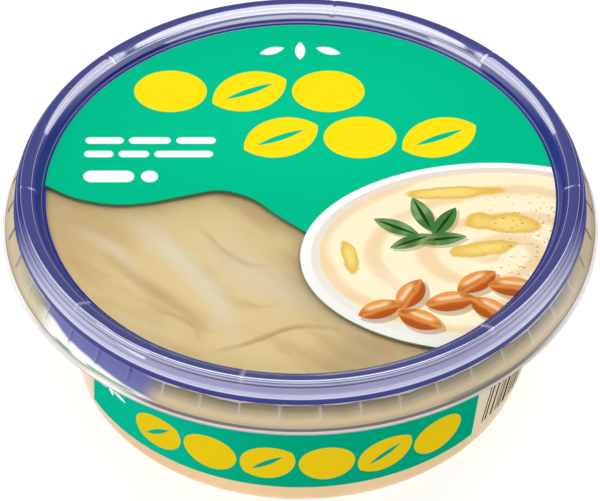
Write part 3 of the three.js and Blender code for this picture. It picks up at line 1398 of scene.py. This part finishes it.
@dataclass(frozen=True)
class Stroke:
    """One mark of the spoon, along a smooth curve through a few places."""

    mark: Mark
    path: tuple[tuple[float, float], ...]
    width: float
    depth: float
    colour: float

    def press(self, x: np.ndarray, y: np.ndarray) -> tuple[np.ndarray, np.ndarray]:
        """Work out the mark over a grid of places.

        Args:
            x: Places across, in millimetres.
            y: Places from front to back.

        Returns:
            The change of height and the strength of the colour. With s the distance from the curve over the
            width: a streak stands exp(-s^2) high, a fold sinks by it, and a crease sinks by it while its left
            side stands exp(-s / 6) high. All fade at the curve's ends.
        """
        curve = spline(np.array(self.path, float), 14)
        ahead = np.gradient(curve, axis=0)
        dx, dy = x[..., None] - curve[:, 0], y[..., None] - curve[:, 1]
        square = dx**2 + dy**2
        nearest = square.argmin(axis=-1)
        away = np.sqrt(square.min(axis=-1)) / self.width
        side = np.take_along_axis(ahead[:, 0] * dy - ahead[:, 1] * dx, nearest[..., None], axis=-1)[..., 0]
        fade = np.sin(np.pi * np.clip(nearest / (len(curve) - 1), 0.02, 0.98)) ** 0.7
        near = np.exp(-(away**2)) * fade
        if self.mark is Mark.STREAK:
            return self.depth * near, self.colour * near
        if self.mark is Mark.FOLD:
            return -self.depth * near, self.colour * near
        lip = np.where(side > 0, np.exp(-away / 6), 0) * fade
        return self.depth * (lip - near), self.colour * near


# Streaks are paler and partly a painted highlight; folds and creases are painted tan as shade
STROKES = (
    Stroke(
        Mark.STREAK,
        ((-31, -3), (-26.5, -8), (-22, -13.5), (-17.5, -20), (-13.5, -28), (-12, -35)),
        2.3,
        0.12,
        0.75,
    ),
    Stroke(Mark.STREAK, ((-41, -6), (-36, -9), (-31, -14), (-27, -21)), 1.6, 0.06, 0.4),
    Stroke(Mark.STREAK, ((-17, -8), (-11, -16), (-5, -21), (1, -25), (4, -30)), 4.0, 0.06, 0.5),
    Stroke(
        Mark.FOLD,
        ((-37, -11), (-33.8, -13.5), (-28.5, -19.4), (-23.2, -24.6), (-18.7, -29.7), (-17.3, -35)),
        1.5,
        0.2,
        0.8,
    ),
    Stroke(Mark.FOLD, ((-43, -8), (-41, -13), (-38, -18), (-33, -24)), 1.8, 0.12, 0.5),
    Stroke(
        Mark.CREASE,
        ((-16, -38.3), (-10.8, -36.7), (-6.9, -34.9), (-1.9, -32.3), (2.5, -31.8), (9, -33)),
        0.42,
        0.34,
        1.0,
    ),
    Stroke(
        Mark.CREASE,
        ((-18.5, -5.5), (-15.4, -9.6), (-12.9, -12.7), (-8.7, -15.8), (-4.4, -16.6)),
        0.42,
        0.26,
        0.85,
    ),
    Stroke(Mark.CREASE, ((-26, -27.5), (-21.5, -29), (-18.4, -32), (-17.4, -36.5)), 0.4, 0.2, 0.7),
    Stroke(Mark.CREASE, ((-10.5, -24), (-8.4, -26.2), (-5.2, -26.6), (-2.2, -25.2)), 0.35, 0.12, 0.35),
    Stroke(Mark.CREASE, ((20, 30), (5, 33), (-10, 28), (-24, 18)), 0.6, 0.3, 0.8),
    Stroke(Mark.FOLD, ((35, 10), (20, 16), (2, 14), (-14, 6)), 1.6, 0.25, 0.7),
)


@dataclass
class Filling:
    """The hummus, smeared smooth on top with a few folds, up to just under the lid."""

    tub: Tub
    window: Window
    level: float = 36.2
    rows: int = 100
    columns: int = 420

    def surface(self, x: np.ndarray, y: np.ndarray) -> tuple[np.ndarray, dict[Mark, np.ndarray]]:
        """Work out the smeared top.

        Args:
            x: Places across, in millimetres.
            y: Places from front to back.

        Returns:
            The height over the level, a sum of broad sines and of the strokes, held between -0.45 and 0.4 mm,
            and the colour strength of each kind of mark.
        """
        along = 0.78 * x - 0.62 * y
        across = 0.62 * x + 0.78 * y
        height = 0.07 * np.sin(across / 4.6 + 1.3 * np.sin(along / 13))
        height += 0.06 * np.sin(along / 9 + across / 15)
        colours = {mark: np.zeros_like(x) for mark in Mark}
        for stroke in STROKES:
            rise, colour = stroke.press(x, y)
            height += rise
            colours[stroke.mark] = np.maximum(colours[stroke.mark], colour)
        return np.clip(height, -0.45, 0.4), colours

    def shade(self, x: np.ndarray, y: np.ndarray) -> np.ndarray:
        """Work out how much darker the top is beside the print, at the far left and at the front right.

        Args:
            x: Places across, in millimetres.
            y: Places from front to back.

        Returns:
            The strength of the shade, which falls off with the distance from the print's edge and two spots.
        """
        border = self.window.border()
        nearest = np.hypot(x[..., None] - border[:, 0], y[..., None] - border[:, 1]).min(axis=-1)
        left = np.exp(-np.hypot(x + 43, y + 4) / 7)
        right = np.exp(-((np.hypot(x - 13, y + 37) / 9) ** 2))
        return np.maximum(0.46 * np.exp(-nearest / 3.4), np.maximum(0.18 * left, 0.42 * right))

    def build(self, paste: bpy.types.Material) -> bpy.types.Object:
        """Turn the filling's profile round the upright axis, and smear its top.

        Args:
            paste: Its finish.

        Returns:
            The finished filling, whose side and base reach halfway into the tub's sheet.
        """
        half = self.tub.sheet / 2
        floor = self.tub.recess + half
        edge = self.tub.radius_at(self.level) - half
        recess = self.tub.recess_radius
        base = np.array([[0, floor], [recess - 1, floor], [recess + 0.2, half]])
        foot = self.tub.foot(half)
        wall = np.linspace(foot[-1], [edge, self.level], 24)[1:]
        top = np.column_stack([np.linspace(edge, 0, self.rows), np.full(self.rows, self.level)])[1:]
        body = np.vstack([base, foot, wall])
        angles = even_turn(self.columns)
        radius, height = spread(np.vstack([body, top]), self.columns)
        x, y = radius * np.cos(angles), radius * np.sin(angles)
        upper = slice(len(body), None)
        relief, colours = self.surface(x[upper], y[upper])
        fade = 1 - smooth(radius[upper], edge - 4.5, edge - 0.5)
        height[upper] += relief * fade
        values = {name: np.zeros_like(radius) for name in ("fold", "streak", "shade")}
        # The fold value: tan as painted shade in folds and creases, and a warm patch at the far left
        warm = 0.38 * np.exp(-((np.hypot(x[upper] + 40, y[upper] + 8) / 11) ** 2))
        folded = np.maximum(colours[Mark.CREASE], colours[Mark.FOLD] * 0.85)
        values["fold"][upper] = np.maximum(folded, warm)
        values["streak"][upper] = colours[Mark.STREAK]
        values["shade"][upper] = self.shade(x[upper], y[upper])
        mesh = Mesh.turned(radius, height, angles)
        mesh.values = {name: value.ravel() for name, value in values.items()}
        return mesh.piece("hummus_filling", [paste])


@dataclass
class Lid:
    """The push-on lid: a clear flat panel, a stepped blue rim and a ribbed clear skirt with a lip.

    The drops are depths below the rim's top. Ribs and notches stand at angles in degrees from +X towards +Y.
    """

    height: float
    lip: float
    panel: float = 45.3
    rim: float = 50.5
    sheet: float = 0.55
    panel_drop: float = 2.8
    rim_drop: float = 4.7
    skirt_drop: float = 10.2
    ribs: int = 45
    rib_first: float = -86.0
    rib_width: float = 0.34
    rib_proud: float = 0.16
    notches: tuple[float, ...] = (0.5, 46.0, 83.0, 135.0, 180.0, -142.5, -102.0, -47.0)
    notch_width: float = 0.7
    notch_depth: float = 0.09

    def outside(self) -> np.ndarray:
        """Work out the upper profile.

        Returns:
            Rows of radius and height from the axis over the panel, rim and skirt to the lip.
        """
        top, rim, panel = self.height, self.rim, self.panel
        floor, foot, join = top - self.panel_drop, top - self.skirt_drop, top - self.rim_drop
        return np.array(
            [
                [0, floor],
                [panel - 1.2, floor],
                [panel - 0.4, floor],
                [panel + 0.2, floor + 0.2],
                [panel + 0.6, top - 1.8],
                [panel + 1.2, top - 0.9],
                [panel + 1.55, top - 0.78],
                [panel + 2.6, top - 0.28],
                [rim - 1.7, top],
                [rim - 1.3, top - 0.07],
                [rim - 1.0, top - 0.2],
                [rim - 0.78, top - 0.6],
                [rim - 0.62, top - 1.1],
                [rim - 0.2, top - 1.9],
                [rim - 0.05, top - 2.9],
                [rim, join],
                [rim + 0.4, join - 0.9],
                [rim + 1.1, join - 2.7],
                [self.lip - 0.75, foot + 1.3],
                [self.lip - 0.2, foot + 0.75],
                [self.lip, foot + 0.35],
                [self.lip - 0.15, foot],
            ]
        )

    def underside(self) -> np.ndarray:
        """Work out the lower profile.

        Returns:
            Rows of radius and height from the lip in under the skirt and the rim to the axis.
        """
        top, rim, panel = self.height, self.rim, self.panel
        floor, foot, join = top - self.panel_drop, top - self.skirt_drop, top - self.rim_drop
        return np.array(
            [
                [self.lip - 0.75, foot + 0.05],
                [self.lip - 1.3, foot + 1.1],
                [rim + 0.5, join - 2.9],
                [rim - self.sheet, join],
                [rim - 0.6, top - 2.9],
                [rim - 0.75, top - 2.1],
                [rim - 1.15, top - 1.3],
                [rim - 1.4, top - 0.65],
                [rim - 1.7, top - self.sheet],
                [panel + 2.8, top - 0.8],
                [panel + 1.7, top - 1.3],
                [panel + 1.05, top - 2.12],
                [panel + 0.2, floor - self.sheet],
                [panel - 1.2, floor - self.sheet],
                [0, floor - self.sheet],
            ]
        )

    def columns(self) -> np.ndarray:
        """Space the columns, with more of them across each rib and each notch.

        Returns:
            Their angles in radians.
        """
        even = np.arange(0, 360, 1.0)
        rib = np.degrees(self.rib_width / self.rim) * np.array([-0.75, -0.4, 0, 0.4, 0.75])
        notch = np.degrees(self.notch_width / self.rim) * np.array([-1, -0.6, -0.25, 0, 0.25, 0.6, 1])
        notches = np.array(self.notches)
        dense = [(self.rib_centres()[:, None] + rib).ravel(), (notches[:, None] + notch).ravel()]
        return np.radians(np.unique(np.round(np.concatenate([even, *dense]) % 360, 3)))

    def rib_centres(self) -> np.ndarray:
        """Return the ribs' angles in degrees."""
        return self.rib_first + np.arange(self.ribs) * 360 / self.ribs

    def ridge(self, angles: np.ndarray, centres: np.ndarray, width: float) -> np.ndarray:
        """Return round ridges: cosine squared of the distance from the nearest centre, over the width."""
        off = np.abs(np.angle(np.exp(1j * (angles[:, None] - np.radians(centres)[None, :])))).min(axis=1)
        return np.cos(np.clip(off * self.rim / width, 0, 1) * math.pi / 2) ** 2

    def build(self, finishes: list[bpy.types.Material]) -> bpy.types.Object:
        """Turn the lid's profile round the upright axis, with its ribs and notches.

        Args:
            finishes: Its clear, blue and hazy finishes.

        Returns:
            The finished lid.
        """
        profile = rounded(np.vstack([self.outside(), self.underside()]), 0.25, 3)
        angles = self.columns()
        radius, height = spread(profile, len(angles))
        join, top = self.height - self.rim_drop, self.height
        rib_zone = (1 - smooth(height, join - 0.2, join + 0.1)) * smooth(height, join - 3.0, join - 2.5)
        rib_zone *= radius > self.rim - 0.3
        rib = rib_zone * self.ridge(angles, self.rib_centres(), self.rib_width)
        crest = smooth(height, top - 1.8, top - 1.0) * smooth(-radius, -self.rim + 0.3, -self.rim + 1.0)
        cut = crest * self.ridge(angles, np.array(self.notches), self.notch_width)
        ribbed, notched = radius + self.rib_proud * rib, height - self.notch_depth * cut
        mesh = Mesh.turned(ribbed, notched, angles[None, :])
        mesh.slots = self.finish_of(profile, len(angles))
        mesh.values = {"rib": rib.ravel(), "cut": (cut * (radius > self.panel + 1)).ravel()}
        return mesh.piece("push_on_lid", finishes)

    def finish_of(self, profile: np.ndarray, columns: int) -> np.ndarray:
        """Share the faces out among the three finishes.

        Args:
            profile: Rows of radius and height.
            columns: How many faces go round.

        Returns:
            A number for each face: 0 clear panel, 1 blue rim, 2 hazy skirt.
        """
        middle = (profile[:-1] + profile[1:]) / 2
        join = self.height - self.rim_drop
        rim = (middle[:, 0] > self.panel - 0.3) & (middle[:, 1] > join)
        skirt = (middle[:, 0] > self.panel + 2) & (middle[:, 1] <= join)
        return np.repeat(rim + 2 * skirt, columns)


@dataclass
class LidFilm:
    """The printed film on the lid's panel."""

    window: Window
    base: float
    gap: float = 0.02
    thickness: float = 0.2

    def build(self, printed: bpy.types.Material) -> bpy.types.Object:
        """Lay the film on the panel.

        Args:
            printed: Its finish.

        Returns:
            The finished film.
        """
        low = self.base + self.gap
        mesh = Mesh.slab(self.window.outline(), low, low + self.thickness)
        return mesh.piece("lid_film_print", [printed], smoothed=False)


@dataclass
class SideBand:
    """The printed band that goes part of the way round the tub.

    Its ends are angles in degrees round from the front, positive to the right, and its left end leans.
    """

    tub: Tub
    gap: float = 0.02
    bottom: float = 5.8
    top: float = 23.5
    left: float = -63.6
    left_top: float = -54.0
    right: float = 163.5
    thickness: float = 0.2
    columns: int = 240

    def build(self, printed: bpy.types.Material) -> bpy.types.Object:
        """Carry a rounded flat section round the wall and close both its ends.

        Args:
            printed: Its finish.

        Returns:
            The finished band: each point is (r sin a, -r cos a, z), with the left end's angle shifting evenly
            from the bottom to the top.
        """
        lower, upper = (self.tub.radius_at(height) + self.gap for height in (self.bottom, self.top))
        section = np.array(
            [
                [lower, self.bottom],
                [lower + self.thickness, self.bottom],
                [upper + self.thickness, self.top],
                [upper, self.top],
            ]
        )
        section = rounded(section, 0.08, 3, closed=True)
        radius, height = spread(section, self.columns)
        rise = (section[:, [1]] - self.bottom) / (self.top - self.bottom)
        left = self.left + (self.left_top - self.left) * rise
        turn = np.radians(left + (self.right - left) * np.linspace(0, 1, self.columns))
        points = np.stack([radius * np.sin(turn), -radius * np.cos(turn), height], axis=-1)
        rows = len(section)
        i, j = np.arange(rows)[:, None], np.arange(self.columns - 1)[None, :]
        below, above = i * self.columns, (i + 1) % rows * self.columns
        quads = np.stack([below + j, below + j + 1, above + j + 1, above + j], axis=-1)
        ends = np.arange(rows) * self.columns
        caps = [ends[::-1].tolist(), (ends + self.columns - 1).tolist()]
        mesh = Mesh(points.reshape(-1, 3), quads.reshape(-1, 4).tolist() + caps)
        return mesh.piece("side_band_print", [printed])


@dataclass
class Studio:
    """The floor, the lights and the camera.

    Each softbox is given by its name, its middle, its width and depth in metres and how bright its face is.
    """

    elevation: float = 43.3
    distance: float = 3.6
    picture_width: float = 106.14
    aim: tuple[float, float, float] = (-0.02, 0.0, 24.8)
    sensor: float = 36.0
    sight: float = 30.0
    floor_half: float = 9.0
    room_colour: tuple[float, float, float, float] = (0.97, 0.98, 1.0, 1.0)
    room_strength: float = 0.22
    lit_point: tuple[float, float, float] = (0.0, 0.0, 0.03)
    softboxes: tuple[tuple[str, tuple[float, float, float], tuple[float, float], float], ...] = (
        ("overhead", (0, 0.02, 0.62), (0.66, 0.26), 3.6),
        ("back_left", (-0.44, 0.27, 0.62), (0.36, 0.34), 2.5),
        ("back_right", (0.44, 0.27, 0.62), (0.36, 0.34), 2.5),
        ("front", (0, -1.6, 0.75), (4.4, 0.5), 1.9),
        ("left", (-0.9, -0.4, 0.3), (0.4, 0.5), 2.5),
    )

    def floor(self) -> None:
        """Lay the pale floor under the tub."""
        data = bpy.data.meshes.new("floor")
        size = self.floor_half
        corners = [(-size, -size, 0), (size, -size, 0), (size, size, 0), (-size, size, 0)]
        data.from_pydata(corners, [], [(0, 1, 2, 3)])
        data.materials.append(PaleFloor().build())
        put("floor", data)

    def world(self) -> None:
        """Fill the room with an even pale light."""
        world = bpy.data.worlds.new("room")
        world.use_nodes = True
        background = world.node_tree.nodes["Background"]
        background.inputs["Color"].default_value = self.room_colour
        background.inputs["Strength"].default_value = self.room_strength
        bpy.context.scene.world = world

    def light(self, name: str, place: Vector, size: tuple[float, float], radiance: float) -> None:
        """Hang one softbox, facing the tub.

        Args:
            name: The light's name.
            place: Its middle, in metres.
            size: Its width and depth.
            radiance: How bright its face is. Its power is that times its area times pi.
        """
        data = bpy.data.lights.new(name, "AREA")
        data.shape = "RECTANGLE"
        data.size, data.size_y = size
        data.energy = radiance * size[0] * size[1] * math.pi
        lamp = put(name, data)
        lamp.location = place
        lamp.rotation_euler = (Vector(self.lit_point) - place).to_track_quat("-Z", "Y").to_euler()

    def lights(self) -> None:
        """Hang one softbox overhead, two behind, a long one in front and a low one at the left."""
        for name, place, size, radiance in self.softboxes:
            self.light(name, Vector(place), size, radiance)

    def camera(self) -> None:
        """Set the camera at the photograph's angle, far off with a long lens."""
        data = bpy.data.cameras.new("camera")
        data.sensor_width = self.sensor
        data.lens = self.sensor * self.distance / (self.picture_width * MM)
        data.clip_end = self.sight
        made = put("camera", data)
        rise = math.radians(self.elevation)
        aim = Vector(self.aim) * MM
        made.location = aim + self.distance * Vector((0, -math.cos(rise), math.sin(rise)))
        made.rotation_euler = (math.pi / 2 - rise, 0, 0)
        bpy.context.scene.camera = made

    def build(self) -> None:
        """Make the whole studio and keep colours as they are."""
        self.camera()
        self.world()
        self.lights()
        self.floor()
        bpy.context.scene.view_settings.view_transform = "Standard"


def main() -> None:
    """Build the tub, its filling, the lid and the prints, and set the studio."""
    logging.basicConfig(level=logging.INFO, format="%(name)s %(message)s")
    lid_low, lid_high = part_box("lid")
    Studio().build()
    tub, window = Tub(), Window()
    clear = ClearSheet("clear_sheet").build()
    lid = Lid(height=lid_high.z / MM, lip=lid_high.x / MM)
    dress(tub.build(clear), "tub")
    dress(Filling(tub, window).build(HummusPaste().build()), "hummus")
    dress(lid.build([clear, BlueRim().build(), HazySkirt().build()]), "lid")
    film = LidFilm(window, lid.height - lid.panel_drop)
    dress(film.build(LidPrint().build()), "lid_film")
    dress(SideBand(tub).build(BandPrint().build()), "side_band")


if __name__ == "__main__":
    main()
